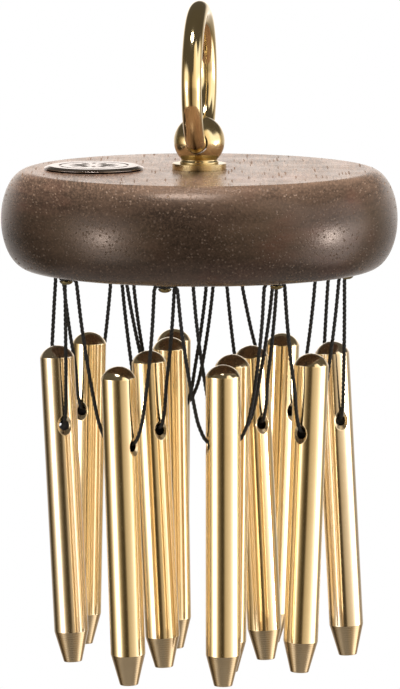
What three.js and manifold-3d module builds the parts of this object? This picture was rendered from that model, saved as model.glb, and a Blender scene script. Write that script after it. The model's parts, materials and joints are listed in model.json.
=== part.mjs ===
// Peg chime: turned brass pegs that hang on cords below a round wooden disc, which hangs on a ring.
// Lengths are millimetres. +Z is up and the front faces -Y. The origin is the top of the ring's
// inside, where the hook bears that the chime hangs on.

import * as THREE from 'three'
import { mergeVertices } from 'three/addons/utils/BufferGeometryUtils.js'
import Module from 'manifold-3d'

const wasm = await Module()
wasm.setup()

// Driving dimensions of the wooden disc
const discRadius = 44.45
const discThickness = 22
const discRimDepth = 6.2

// Driving dimensions of the badge on top of the disc
const badgeRadius = 11.15
const badgeThickness = 0.95
const badgeEdgeRadius = 0.65
const badgeFootInset = 0.3
const badgeFootHeight = 0.15
const badgeGrooveRadius = 7.7
const badgeGrooveWidth = 0.6
const badgeGrooveDepth = 0.2
const badgeToRim = 3.5
const badgeToFront = 0.5

// Driving dimensions of the ball hanger, with heights above the wood
const flangeRadius = 6.05
const flangeHeight = 1.4
const collarRadius = 4.3
const collarHeight = 1.75
const neckHeight = 2.3
const ballRadius = 5.7
const ballCentreHeight = 6.35

// Driving dimensions of the hanging ring, a round rod whose two ends are sprung into the ball
const rodRadius = 2.25
const crownRadius = 15.3
const ringFilletRadius = 5.3
const ringEndGap = 1

// Driving dimensions of the threaded stud between the ball and the wood
const studRadius = 2
const studLength = 16
const studInBall = 2.6
const studChamfer = 0.4

// Driving dimensions of the slotted screws that hold the cords
const headRadius = 1.5
const headHeight = 0.85
const shankRadius = 0.76
const shankLength = 9
const screwPointLength = 1.5
const slotWidth = 0.45
const slotDepth = 0.35

// Driving dimensions of the cords, and the two rings of screws as shares of the disc's radius
const cordDiameter = 0.9
const cordBendRadius = 1.2
const strandBow = 0.35
const pegDrop = 35.5
const outerRingShare = 0.7537
const innerRingShare = 0.4364

// Driving dimensions of the turned pegs
const pegRadius = 3.85
const pegLength = 71.7
const pegDomeHeight = 2.5
const pegTaperLength = 7
const pegTipRadius = 2.05
const pegHoleFromTop = 17.7
const pegBoreRadius = 1.3
const pegSinkRadius = 2.2

// Clearances: between pieces that bear on each other, round the rod in the ball, and past a cut
const seatGap = 0.12
const pivotGap = 0.2
const cutOvershoot = 0.5

// Angles in degrees
const ringTurnDegrees = -6.5
const firstScrewDegrees = -12.5
const sinkHalfDegrees = 59
const cordBendDegrees = 80
const slotTurnDegrees = 67

// Sides of the round sections, and steps along the arcs
const discSides = 56
const discRimSteps = 12
const badgeSides = 40
const ballSides = 24
const ballSteps = 10
const rodSides = 12
const crownSteps = 24
const filletSteps = 3
const studSides = 12
const screwSides = 10
const headSteps = 3
const pegSides = 16
const domeSteps = 3
const boreSides = 12
const cordSides = 8
const bendSteps = 3
const strandSteps = 3
const edgeSteps = 3

// Where the screws are: their turn away from an even spacing, in degrees, and their distance from
// the middle as a share of the ring's radius. They run anticlockwise from the front, seen from above.
const outerScrewShares = [
  { turn: -0.4, share: 1.006 },
  { turn: 0.1, share: 0.943 },
  { turn: 0.3, share: 1.006 },
  { turn: -1.5, share: 1.009 },
  { turn: 1.5, share: 1.010 },
  { turn: 0.4, share: 1.006 },
  { turn: -0.9, share: 1.001 },
  { turn: -1.1, share: 1.030 }
]
const innerScrewShares = [
  { turn: 0.7, share: 0.969 },
  { turn: -0.3, share: 1.005 },
  { turn: -0.3, share: 1.021 },
  { turn: 0.5, share: 1.010 }
]

// How the pegs hang between one screw and the next: the share of the way along, the drop as a share
// of the usual drop, and in degrees the top's lean outward and along, and the hole's twist.
const outerPegShares = [
  { along: 0.521, drop: 1.014, leanOut: 0.7, leanAlong: -0.2, twist: 0 },
  { along: 0.458, drop: 0.986, leanOut: 1.7, leanAlong: 1.2, twist: -7.3 },
  { along: 0.530, drop: 0.994, leanOut: -3.0, leanAlong: 0.9, twist: -9.4 },
  { along: 0.465, drop: 1.008, leanOut: 1.4, leanAlong: -1.7, twist: 6.4 },
  { along: 0.500, drop: 1.000, leanOut: -0.9, leanAlong: -0.3, twist: -1.2 },
  { along: 0.494, drop: 0.978, leanOut: -0.4, leanAlong: -1.5, twist: -9.7 },
  { along: 0.474, drop: 0.983, leanOut: 2.7, leanAlong: -1.1, twist: -8.9 },
  { along: 0.553, drop: 1.034, leanOut: 3.0, leanAlong: -0.2, twist: -0.7 }
]
const innerPegShares = [
  { along: 0.485, drop: 1.014, leanOut: 0.5, leanAlong: 0.5, twist: 0.3 },
  { along: 0.445, drop: 1.022, leanOut: -1.8, leanAlong: 2.4, twist: 2.3 },
  { along: 0.461, drop: 0.989, leanOut: -0.8, leanAlong: 1.6, twist: -1.2 },
  { along: 0.564, drop: 1.000, leanOut: 2.2, leanAlong: -1.7, twist: 1.9 }
]

// The cord's way from the middle of a peg's hole to the free strand: how far out along the hole and
// how far up, as shares of the peg's radius.
const mouthRouteShares = [
  { out: 0, up: 0.16 },
  { out: 0.65, up: 0.16 },
  { out: 0.845, up: 0.17 },
  { out: 1.00, up: 0.26 },
  { out: 1.13, up: 0.43 },
  { out: 1.25, up: 0.675 },
  { out: 1.49, up: 1.30 },
  { out: 1.77, up: 2.60 }
]

// Heights and lengths that follow from these. The ring's fillets start at the mouths of the ball's
// cross hole, which sets how high the crown's centre is above the pivot.
const crossHoleRadius = rodRadius + pivotGap
const mouthAcross = Math.sqrt(ballRadius ** 2 - crossHoleRadius ** 2)
const crownRise = ringFilletRadius +
  Math.sqrt((crownRadius - ringFilletRadius) ** 2 - mouthAcross ** 2)
const pivotHeight = rodRadius - crownRise - crownRadius
const discTop = pivotHeight - ballCentreHeight
const discUnderside = discTop - discThickness
const cordRadius = cordDiameter / 2
const headStandoff = cordDiameter + 2 * seatGap
const runHeight = -headStandoff / 2
const outerRingRadius = discRadius * outerRingShare
const innerRingRadius = discRadius * innerRingShare
const badgeToMiddle = discRadius - discRimDepth - badgeToRim - badgeRadius

const materials = {
  wood: new THREE.MeshStandardMaterial({ color: 0x5c4535, roughness: 0.35, metalness: 0 }),
  brass: new THREE.MeshStandardMaterial({ color: 0xc9a268, roughness: 0.18, metalness: 1 }),
  plate: new THREE.MeshStandardMaterial({ color: 0xc4b1a0, roughness: 0.12, metalness: 1 }),
  steel: new THREE.MeshStandardMaterial({ color: 0x9a958c, roughness: 0.35, metalness: 1 }),
  cord: new THREE.MeshStandardMaterial({ color: 0x14120f, roughness: 0.9, metalness: 0 })
}

const radians = THREE.MathUtils.degToRad

// Whole-number steps from 0 to count, both included, as shares of the count
function stepShares (count) {
  return Array.from({ length: count + 1 }, (_, step) => step / count)
}

// A closed geometry as a solid. Only positions are kept, shared vertices are merged, and the
// triangles without area at a lathe's poles are left out.
function toSolid (geometry) {
  const bare = new THREE.BufferGeometry()
  bare.setAttribute('position', geometry.getAttribute('position'))
  bare.setIndex(geometry.getIndex())
  const merged = mergeVertices(bare)
  const corners = merged.getIndex().array
  const triangles = []
  for (let first = 0; first < corners.length; first += 3) {
    const [a, b, c] = corners.slice(first, first + 3)
    if (a !== b && b !== c && c !== a) triangles.push(a, b, c)
  }
  const vertProperties = new Float32Array(merged.getAttribute('position').array)
  const triVerts = new Uint32Array(triangles)
  return new wasm.Manifold(new wasm.Mesh({ numProp: 3, vertProperties, triVerts }))
}

// A solid as a named mesh
function toMesh (name, solid, material) {
  const { vertProperties, triVerts } = solid.getMesh()
  const geometry = new THREE.BufferGeometry()
  geometry.setAttribute('position', new THREE.BufferAttribute(vertProperties, 3))
  geometry.setIndex(new THREE.BufferAttribute(triVerts, 1))
  geometry.computeVertexNormals()
  const mesh = new THREE.Mesh(geometry, material)
  mesh.name = name
  return mesh
}

// A turned shape about Z, from a profile of radii and heights that runs from the bottom to the top
function turnedGeometry (profile, sides) {
  const points = profile.map(([radius, height]) => new THREE.Vector2(radius, height))
  return new THREE.LatheGeometry(points, sides).rotateX(Math.PI / 2)
}

function turned (profile, sides) {
  return toSolid(turnedGeometry(profile, sides))
}

// A round bar along Z between two heights
function barGeometry (radius, bottom, top, sides) {
  return turnedGeometry([[0, bottom], [radius, bottom], [radius, top], [0, top]], sides)
}

// A curve whose steps fall on its own knots, so that a tube along it has one section at each
class KnotCurve extends THREE.CatmullRomCurve3 {
  getPointAt (share, target) {
    return this.getPoint(share, target)
  }

  getTangentAt (share, target) {
    return this.getTangent(share, target)
  }
}

// A round tube through a list of knots
function tube (knots, radius, sides) {
  const corners = stepShares(sides).slice(1).map(share => {
    const angle = share * 2 * Math.PI
    return new THREE.Vector2(radius * Math.cos(angle), radius * Math.sin(angle))
  })
  const extrudePath = new KnotCurve(knots)
  const settings = { steps: knots.length - 1, extrudePath, bevelEnabled: false }
  return toSolid(new THREE.ExtrudeGeometry(new THREE.Shape(corners), settings))
}

// The screws' places in the disc's underside, from a ring's radius and its table of shares
function screwPlaces (ringRadius, shares) {
  return shares.map(({ turn, share }, index) => {
    const angle = radians(firstScrewDegrees + turn + index * 360 / shares.length)
    const radius = ringRadius * share
    return new THREE.Vector3(radius * Math.sin(angle), -radius * Math.cos(angle), 0)
  })
}

// How each peg hangs below the underside: its hole's middle, the directions of its hole and of its
// own axis, and the two screws that its cord runs between
function pegPlaces (screws, shares) {
  const up = new THREE.Vector3(0, 0, 1)
  return shares.map(({ along, drop, leanOut, leanAlong, twist }, index) => {
    const first = screws[index]
    const second = screws[(index + 1) % screws.length]
    const chord = second.clone().sub(first).normalize()
    const outward = chord.clone().cross(up)
    const middle = first.clone().lerp(second, along).setZ(-pegDrop * drop)
    const axis = up.clone()
      .addScaledVector(outward, Math.sin(radians(leanOut)))
      .addScaledVector(chord, Math.sin(radians(leanAlong)))
      .normalize()
    const hole = chord.clone().multiplyScalar(Math.cos(radians(twist)))
      .addScaledVector(outward, Math.sin(radians(twist)))
    hole.addScaledVector(axis, -hole.dot(axis)).normalize()
    return { first, second, middle, axis, hole }
  })
}

function woodDisc (screws) {
  const halfThickness = discThickness / 2
  const rim = stepShares(discRimSteps).map(share => {
    const angle = (share - 1 / 2) * Math.PI
    const radius = discRadius - discRimDepth * (1 - Math.cos(angle))
    return [radius, halfThickness * (1 + Math.sin(angle))]
  })
  let solid = turned([[0, 0], ...rim, [0, discThickness]], discSides)
  const pilotDepth = shankLength - headStandoff + seatGap
  for (const place of screws) {
    const pilot = barGeometry(shankRadius + seatGap, -cutOvershoot, pilotDepth, screwSides)
    solid = solid.subtract(toSolid(pilot.translate(place.x, place.y, 0)))
  }
  const studBottom = discThickness - (studLength - studInBall) - seatGap
  const studTop = discThickness + cutOvershoot
  const studHole = barGeometry(studRadius + seatGap, studBottom, studTop, studSides)
  return toMesh('wood_disc', solid.subtract(toSolid(studHole)), materials.wood)
}

function badge () {
  const flatRadius = badgeRadius - badgeEdgeRadius
  const shoulder = badgeThickness - badgeEdgeRadius
  const edge = stepShares(edgeSteps).map(share => {
    const angle = share * Math.PI / 2
    return [
      flatRadius + badgeEdgeRadius * Math.cos(angle),
      shoulder + badgeEdgeRadius * Math.sin(angle)
    ]
  })
  const groove = [
    [badgeGrooveRadius + badgeGrooveWidth / 2, badgeThickness],
    [badgeGrooveRadius, badgeThickness - badgeGrooveDepth],
    [badgeGrooveRadius - badgeGrooveWidth / 2, badgeThickness]
  ]
  const foot = [[0, 0], [badgeRadius - badgeFootInset, 0], [badgeRadius, badgeFootHeight]]
  const profile = [...foot, ...edge, ...groove, [0, badgeThickness]]
  const mesh = toMesh('badge', turned(profile, badgeSides), materials.plate)
  mesh.position.set(-badgeToMiddle, -badgeToFront, discThickness)
  return mesh
}

// The ball with its collar and flange, in the hanger's frame, whose origin is the pivot in the ball
function hangerBall () {
  const base = -ballCentreHeight
  const firstAngle = Math.asin((base + neckHeight) / ballRadius)
  const sphere = stepShares(ballSteps).map(share => {
    const angle = firstAngle + share * (Math.PI / 2 - firstAngle)
    return [ballRadius * Math.cos(angle), ballRadius * Math.sin(angle)]
  })
  sphere[ballSteps][0] = 0
  const foot = [
    [0, base],
    [flangeRadius, base],
    [flangeRadius, base + flangeHeight],
    [collarRadius, base + flangeHeight],
    [collarRadius, base + collarHeight]
  ]
  const crossHoleReach = ballRadius + cutOvershoot
  const crossHole = barGeometry(crossHoleRadius, -crossHoleReach, crossHoleReach, ballSides)
    .rotateX(Math.PI / 2)
  const studHole = barGeometry(
    studRadius + seatGap, base - cutOvershoot, base + studInBall + seatGap, studSides)
  const solid = turned([...foot, ...sphere], ballSides)
    .subtract(toSolid(crossHole))
    .subtract(toSolid(studHole))
  return toMesh('hanger_ball', solid, materials.brass)
}

// The ring's rod runs straight inside the ball, out through a fillet, and round over the crown
function hangingRing () {
  const filletAngle = Math.atan2(mouthAcross, crownRise - ringFilletRadius)
  const fillet = stepShares(filletSteps).map(share => [
    mouthAcross + ringFilletRadius * Math.sin(share * filletAngle),
    ringFilletRadius * (1 - Math.cos(share * filletAngle))
  ])
  const limb = [[ringEndGap / 2, 0], ...fillet]
  const crown = stepShares(crownSteps).slice(1, -1).map(share => {
    const angle = filletAngle + share * 2 * (Math.PI - filletAngle)
    return [crownRadius * Math.sin(angle), crownRise - crownRadius * Math.cos(angle)]
  })
  const otherLimb = limb.map(([across, rise]) => [-across, rise]).reverse()
  const knots = [...limb, ...crown, ...otherLimb]
    .map(([across, rise]) => new THREE.Vector3(0, -across, rise))
  return toMesh('hanging_ring', tube(knots, rodRadius, rodSides), materials.brass)
}

function hangerStud () {
  const top = discThickness + studInBall
  const bottom = top - studLength
  const profile = [
    [0, bottom],
    [studRadius - studChamfer, bottom],
    [studRadius, bottom + studChamfer],
    [studRadius, top - studChamfer],
    [studRadius - studChamfer, top],
    [0, top]
  ]
  return toMesh('hanger_stud', turned(profile, studSides), materials.steel)
}

// A slotted round-head screw, with its head below the underside and its shank up in the wood
function screw (name, place, turnDegrees) {
  const dome = stepShares(headSteps).map(share => {
    const angle = (1 - share) * Math.PI / 2
    return [headRadius * Math.cos(angle), -headStandoff - headHeight * Math.sin(angle)]
  })
  dome[0][0] = 0
  const shankTop = shankLength - headStandoff
  const shank = [
    [shankRadius, -headStandoff],
    [shankRadius, shankTop - screwPointLength],
    [0, shankTop]
  ]
  const slot = new THREE.BoxGeometry(
    2 * (headRadius + cutOvershoot), slotWidth, 2 * slotDepth)
    .translate(0, 0, -headStandoff - headHeight)
  const solid = turned([...dome, ...shank], screwSides).subtract(toSolid(slot))
  const mesh = toMesh(name, solid, materials.brass)
  mesh.position.copy(place)
  mesh.rotation.z = radians(turnDegrees)
  return mesh
}

// A peg about its own hole: the hole lies along X and the peg along Z
function pegSolid () {
  const top = pegHoleFromTop
  const tip = top - pegLength
  const domeRadius = (pegRadius ** 2 + pegDomeHeight ** 2) / (2 * pegDomeHeight)
  const domeStart = Math.acos(pegRadius / domeRadius)
  const dome = stepShares(domeSteps).map(share => {
    const angle = domeStart + share * (Math.PI / 2 - domeStart)
    return [domeRadius * Math.cos(angle), top - domeRadius * (1 - Math.sin(angle))]
  })
  dome[domeSteps][0] = 0
  const profile = [[0, tip], [pegTipRadius, tip], [pegRadius, tip + pegTaperLength], ...dome]
  const sinkSlope = Math.tan(radians(sinkHalfDegrees))
  const sinkStart = pegRadius - (pegSinkRadius - pegBoreRadius) / sinkSlope
  const cutEnd = pegRadius + cutOvershoot
  const cutRadius = pegSinkRadius + cutOvershoot * sinkSlope
  const cutter = turnedGeometry([
    [0, -cutEnd],
    [cutRadius, -cutEnd],
    [pegBoreRadius, -sinkStart],
    [pegBoreRadius, sinkStart],
    [cutRadius, cutEnd],
    [0, cutEnd]
  ], boreSides)
  return turned(profile, pegSides).subtract(toSolid(cutter.rotateY(Math.PI / 2)))
}

function peg (name, solid, { middle, axis, hole }) {
  const mesh = toMesh(name, solid, materials.brass)
  const side = axis.clone().cross(hole)
  mesh.position.copy(middle)
  mesh.quaternion.setFromRotationMatrix(new THREE.Matrix4().makeBasis(hole, side, axis))
  return mesh
}

// One half of a peg's cord, from the shank of a screw to the middle of the peg's hole. It runs level
// under the screw's head, bends down beside it, and comes in round the lip of the hole.
function strandKnots (screwPlace, otherPlace, middle, hole, axis) {
  const inward = otherPlace.clone().sub(screwPlace).normalize()
  const fromScrew = (along, drop) => screwPlace.clone()
    .addScaledVector(inward, along)
    .setZ(runHeight - drop)
  const bendStart = headRadius + seatGap
  const bend = stepShares(bendSteps).map(share => {
    const angle = share * radians(cordBendDegrees)
    return fromScrew(
      bendStart + cordBendRadius * Math.sin(angle), cordBendRadius * (1 - Math.cos(angle)))
  })
  const mouth = mouthRouteShares.map(({ out, up }) => middle.clone()
    .addScaledVector(hole, pegRadius * out)
    .addScaledVector(axis, pegRadius * up))
  mouth.reverse()
  const strand = stepShares(strandSteps).slice(1, -1).map(share => bend[bendSteps].clone()
    .lerp(mouth[0], share)
    .addScaledVector(inward, -4 * share * (1 - share) * strandBow))
  return [fromScrew(shankRadius + seatGap, 0), ...bend, ...strand, ...mouth]
}

function cordLoop (name, { first, second, middle, hole, axis }) {
  const towardFirst = hole.clone().negate()
  const down = strandKnots(first, second, middle, towardFirst, axis)
  const back = strandKnots(second, first, middle, hole, axis)
  const knots = [...down, ...back.reverse().slice(1)]
  return toMesh(name, tube(knots, cordRadius, cordSides), materials.cord)
}

// The whole chime: the ring and the ball turn together, and the rest is placed from the underside
const chime = new THREE.Group()

const hanger = new THREE.Group()
hanger.position.z = pivotHeight
hanger.rotation.z = radians(ringTurnDegrees)
hanger.add(hangingRing(), hangerBall())

const outerScrews = screwPlaces(outerRingRadius, outerScrewShares)
const innerScrews = screwPlaces(innerRingRadius, innerScrewShares)
const disc = new THREE.Group()
disc.position.z = discUnderside
disc.add(woodDisc([...outerScrews, ...innerScrews]), badge(), hangerStud())

const pegShape = pegSolid()
const rings = [
  { ring: 'outer', screws: outerScrews, shares: outerPegShares },
  { ring: 'inner', screws: innerScrews, shares: innerPegShares }
]
for (const { ring, screws, shares } of rings) {
  screws.forEach((place, index) => {
    disc.add(screw(`screw_${ring}_${index + 1}`, place, index * slotTurnDegrees))
  })
  pegPlaces(screws, shares).forEach((place, index) => {
    disc.add(cordLoop(`cord_loop_${ring}_${index + 1}`, place))
    disc.add(peg(`peg_${ring}_${index + 1}`, pegShape, place))
  })
}

chime.add(hanger, disc)

export default chime
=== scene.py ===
import json
import math

import bpy
import numpy as np
from mathutils import Matrix, Vector


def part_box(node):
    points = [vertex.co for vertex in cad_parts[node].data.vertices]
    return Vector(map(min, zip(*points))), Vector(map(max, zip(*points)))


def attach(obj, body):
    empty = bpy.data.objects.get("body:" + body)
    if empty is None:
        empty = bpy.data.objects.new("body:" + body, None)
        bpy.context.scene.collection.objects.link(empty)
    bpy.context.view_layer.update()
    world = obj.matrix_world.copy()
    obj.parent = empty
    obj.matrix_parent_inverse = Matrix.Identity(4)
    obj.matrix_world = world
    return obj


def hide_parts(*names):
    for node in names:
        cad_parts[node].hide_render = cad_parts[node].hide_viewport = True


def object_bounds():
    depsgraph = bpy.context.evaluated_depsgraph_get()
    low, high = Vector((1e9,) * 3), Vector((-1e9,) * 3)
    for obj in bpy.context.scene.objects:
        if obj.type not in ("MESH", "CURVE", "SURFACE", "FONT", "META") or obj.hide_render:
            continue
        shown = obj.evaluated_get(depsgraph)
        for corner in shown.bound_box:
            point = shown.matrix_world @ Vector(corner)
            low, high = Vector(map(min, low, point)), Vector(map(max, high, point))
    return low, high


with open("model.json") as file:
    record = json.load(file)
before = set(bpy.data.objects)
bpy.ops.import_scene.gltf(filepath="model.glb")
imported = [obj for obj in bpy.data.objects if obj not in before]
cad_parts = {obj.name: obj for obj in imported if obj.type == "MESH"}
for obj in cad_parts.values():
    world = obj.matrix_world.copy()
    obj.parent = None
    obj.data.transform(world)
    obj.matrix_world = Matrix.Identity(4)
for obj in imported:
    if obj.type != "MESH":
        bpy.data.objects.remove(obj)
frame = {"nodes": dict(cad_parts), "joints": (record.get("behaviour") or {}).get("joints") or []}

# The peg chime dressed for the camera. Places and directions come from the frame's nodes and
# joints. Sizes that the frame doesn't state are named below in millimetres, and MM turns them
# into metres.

MM = 0.001
MICRON = 0.000001
CAD_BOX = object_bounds()

# The camera: its lens as pixels per unit of slope, its tilt, and the point that it looks at
PHOTO_WIDTH = 400
LENS_PIXELS = 5783
SENSOR_WIDTH = 36
CAMERA_TILT_DEGREES = 7.253
CAMERA_DISTANCE = 1.3
CAMERA_AIM = Vector((0.164 * MM, 0, -72.847 * MM))

# How many sides each round shape has about its axis
DISC_SIDES = 256
BADGE_SIDES = 240
BALL_SIDES = 128
ROD_SIDES = 64
SCREW_SIDES = 48
PLY_SIDES = 8
PEG_SIDES = 96
ROOM_SIDES = 96

# Lengths shorter than this count as none
TINY = 0.000001

# The disc and what stands on it
DISC_RIM_DEPTH = 6.2
DISC_ROW_LENGTH = 2
BADGE_BEVEL_WIDTH = 1.2
BADGE_BEVEL_DROP = 0.48
BADGE_FOOT_INSET = 0.7
BADGE_FOOT_HEIGHT = 0.34
BADGE_GROOVE_RADIUS = 7.7
BADGE_GROOVE_WIDTH = 0.6
BADGE_GROOVE_DEPTH = 0.2
PETAL_COUNT = 12
PETAL_INNER_RADIUS = 1.6
PETAL_OUTER_RADIUS = 5.8
PETAL_DEPTH = 0.12
PETAL_FULLNESS = 0.7

# The ball hanger and its ring, with heights above the wood
FLANGE_RADIUS = 6.05
FLANGE_HEIGHT = 1.4
FLANGE_FOOT_EASE = 0.03
COLLAR_RADIUS = 4.3
COLLAR_HEIGHT = 1.75
NECK_HEIGHT = 2.3
BALL_RADIUS = 5.7
BALL_HOLE_EASE = 0.08
ROD_RADIUS = 2.25
CROWN_RADIUS = 15.3
PIVOT_GAP = 0.2
RING_FILLET_RADIUS = 5.3
RING_END_GAP = 1

# The screws and the cords
HEAD_RADIUS = 1.5
HEAD_HEIGHT = 0.85
SHANK_RADIUS = 0.76
SHANK_LENGTH = 9
SCREW_POINT_LENGTH = 1.5
SLOT_WIDTH = 0.45
SLOT_DEPTH = 0.35
SLOT_EASE = 0.05
SLOT_TURN_DEGREES = 67
SEAT_GAP = 0.12
CORD_DIAMETER = 0.9
CORD_BEND_RADIUS = 1.2
CORD_BEND_DEGREES = 80
STRAND_BOW = 0.35
PLY_COUNT = 3
PLY_RADIUS = 0.245
PLY_PITCH = 3.1
CORD_STEP = 0.22
WRAP_TURNS = 0.985
HEAD_STANDOFF = CORD_DIAMETER + 2 * SEAT_GAP

# The pegs
PEG_RADIUS = 3.85
PEG_LENGTH = 71.7
PEG_DOME_HEIGHT = 2.5
PEG_TAPER_LENGTH = 7
PEG_TIP_RADIUS = 2.05
PEG_HOLE_FROM_TOP = 17.7
PEG_BORE_RADIUS = 1.12
PEG_SINK_RADIUS = 2.2
SINK_HALF_DEGREES = 59
SINK_LIP_EASE = 0.1
TURNING_PITCH = 0.55
TURNING_DEPTH = 0.003
PEG_ROW_LENGTH = 0.9

# The pegs whose brass is a little more silvery
PALE_PEGS = ("peg_outer_3", "peg_outer_7")

# The part of a surface that is drawn to the shape of the hole in it: half its width in sides, its
# lowest and highest place, and the steps from its border to the hole
BALL_PATCH = (17, -3.45, 3.6)
PEG_PATCH = (16, -3.6, 3.6)
PATCH_STEPS = 5

# The cord's way out of a peg's hole, as shares of the peg's radius: out along the hole, and up
MOUTH_ROUTE = [
    (0, 0.16), (0.65, 0.16), (0.845, 0.17), (1.00, 0.26),
    (1.13, 0.43), (1.25, 0.675), (1.49, 1.30), (1.77, 2.60),
]

# The kinds of brass: colour, tarnished colour, roughness, unevenness in microns, and whether it
# shows marks of turning
BRASSES = {
    "hanger_brass": ((226, 204, 156), (192, 164, 112), 0.09, 20, True),
    "ball_brass": ((226, 204, 156), (192, 164, 112), 0.17, 20, True),
    "peg_brass": ((248, 226, 184), (238, 210, 163), 0.13, 0.2, False),
    "peg_pale": ((240, 222, 194), (230, 210, 177), 0.13, 0.2, False),
    "peg_satin": ((216, 188, 148), (182, 152, 110), 0.16, 4, False),
    # The countersink's brass is drawn a little darker than the peg's, as painted shade in the
    # recess
    "peg_sink_painted_shade": ((236, 214, 178), (200, 172, 130), 0.26, 10, False),
    # The bore's near-black colour is painted shade inside the hole
    "peg_bore_painted_shade": ((44, 34, 22), (26, 20, 14), 0.6, 20, False),
    "screw_brass": ((132, 116, 78), (90, 76, 48), 0.28, 20, True),
}

# How rough brass is where other brass mirrors it, so that the pegs' reflections of each other melt
# into broad bands
MIRRORED_ROUGHNESS = 0.4

# The wood's clouds, growth layers and fibres, laid over its ground in this order: how the pattern
# is stretched, its scale, detail, roughness and distortion, the values between which it sets in,
# how strong it is, and its colour
WOOD_LAYERS = [
    ((0.45, 0.2, 1), (130, 3, 0.55, 0), (0.42, 0.66), 0.6, (58, 46, 38)),
    ((0.2, 0.03, 1), (500, 5, 0.65, 0.3), (0.38, 0.66), 0.65, (54, 43, 35)),
    ((1, 0.08, 1), (2200, 3, 0.65, 0), (0.38, 0.72), 0.7, (116, 92, 75)),
]

# The wood's pores: how many there are to a metre across the grain, their sizes and where their
# edges fade as shares of their spacing, how strong their painted light and shade is, and what is
# left of that on the top
PORE_SCALE = 1350
PORE_SIZES = (0.08, 0.34)
PORE_EDGE = (-0.06, 0.09)
PORE_STRENGTH = 0.45
PORE_TOP_SHARE = 0.55

# The studio, in metres. The room is what polished metal sees: for each direction round the object,
# from behind over the left, the front and the right to behind again, how bright its wall is, and
# how high the bright part reaches. From a little below the disc up the wall is brighter by the
# lift, and above the disc no level is higher than the cap.
ROOM_RADIUS = 1.0
ROOM_HEIGHT = 2.2
ROOM_LEVELS = [
    (-180, 0.97), (-171, 0.97), (-163, 0.7), (-140, 0.36), (-122, 0.06), (-108, 0.08),
    (-98, 0.2), (-88, 0.45), (-79, 0.9), (-71, 1.5), (-65, 2.5), (-48, 2.5), (-41, 1.2),
    (-34, 0.6), (-27, 0.3), (-20, 0.18), (-14, 0.1), (-3, 0.05), (6, 0.12), (12, 0.45),
    (19, 0.55), (40, 0.8), (52, 1), (62, 1.5), (70, 1.8), (76, 2.5), (100, 2.5), (108, 1),
    (117, 0.3), (142, 0.45), (165, 0.75), (172, 0.97),
]
ROOM_TOPS = [
    (-180, 0.3), (-80, 0.3), (-70, 0.4), (-45, 0.4), (-35, 0.3), (22, 0.3), (32, 1.3), (60, 1.3),
    (72, 0.55), (105, 0.55), (115, 0.3), (180, 0.3),
]
# The level and the height that count as full in the colour ramps
ROOM_TOP_LEVEL = 2.5
ROOM_TOP_HEIGHT = 1.4
ROOM_TOP_FADE = 0.25
ROOM_FOOT_LOW = -1.1
ROOM_FOOT_HIGH = -0.5
ROOM_BACK_DEGREES = 135
ROOM_BACK_TINT = (1, 0.94, 0.89)
ROOM_DIM_TINT = (1, 0.78, 0.45)
ROOM_WHITE_LEVEL = 2
ROOM_LIFT = 1.6
ROOM_LIFT_LOW = -0.22
ROOM_LIFT_HIGH = -0.1
ROOM_CAP = 0.97
ROOM_CAP_LOW = -0.05
ROOM_CAP_HIGH = 0.03
CEILING_LEVEL = 0.065
CEILING_TINT = (1, 0.9, 0.75)
AMBIENT_LEVEL = 0.12
FLOOR_DROP = 0.7
FLOOR_REACH = 3.5
FLOOR_LIFT = 0.72

# Lamps: name, azimuth and elevation in degrees, distance, width and height in metres, power in
# watts, and whether polished metal sees it
LAMPS = [
    ("lamp_left", -57, -7, 0.85, (0.1, 0.14), 0.85, True),
    ("lamp_right", 81, -7, 0.85, (0.13, 0.16), 1.7, True),
    ("lamp_top", -15, 70, 0.5, (0.2, 0.13), 1.0, True),
    ("lamp_behind", 180, 78, 0.5, (0.3, 0.3), 7.5, False),
]


def unit(vector):
    """The vector with length one."""
    vector = np.asarray(vector, float)
    return vector / np.linalg.norm(vector)


def steps(count):
    """The shares from 0 to 1, both included, in a count of even steps."""
    return np.arange(count + 1) / count


def arc(centre, radius, start_degrees, end_degrees, count):
    """Points on an arc, where 0 degrees is outward and 90 degrees is up. The radius is one number
    or a width and a height."""
    width, height = radius if isinstance(radius, tuple) else (radius, radius)
    angles = np.radians(start_degrees + steps(count) * (end_degrees - start_degrees))
    return [(centre[0] + width * math.cos(a), centre[1] + height * math.sin(a)) for a in angles]


def rounded(corner, before, after, radius, count=4):
    """A corner of a profile eased by a curve that starts and ends a radius from it."""
    corner = np.array(corner, float)
    start = corner + radius * unit(np.array(before) - corner)
    end = corner + radius * unit(np.array(after) - corner)
    return [tuple((1 - t) ** 2 * start + 2 * t * (1 - t) * corner + t ** 2 * end)
            for t in steps(count)]


def spaced(profile, longest):
    """The profile with points added so that no step is longer than the longest."""
    result = [profile[0]]
    for before, after in zip(profile, profile[1:]):
        length = math.dist(before, after)
        parts = max(1, math.ceil(length / longest))
        for share in steps(parts)[1:]:
            result.append(tuple(np.array(before) * (1 - share) + np.array(after) * share))
    return result


def profile_normals(profile):
    """The outward direction at each point of a profile that runs from the bottom to the top."""
    points = np.array(profile, float)
    along = np.gradient(points, axis=0)
    normals = np.stack([along[:, 1], -along[:, 0]], axis=1)
    normals /= np.linalg.norm(normals, axis=1)[:, None]
    normals[points[:, 0] < TINY, 0] = 0
    return normals / np.linalg.norm(normals, axis=1)[:, None]


def turned_grid(profile, sides):
    """Points and directions of a shape turned about Z, as rows of the profile by columns."""
    angles = steps(sides)[:-1] * 2 * math.pi
    normals = profile_normals(profile)
    radii, heights = np.array(profile, float).T
    across, up = np.cos(angles), np.sin(angles)
    points = np.stack([
        radii[:, None] * across, radii[:, None] * up,
        np.repeat(heights[:, None], sides, axis=1)], axis=2)
    directions = np.stack([
        normals[:, :1] * across, normals[:, :1] * up,
        np.repeat(normals[:, 1:], sides, axis=1)], axis=2)
    return points, directions


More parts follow.
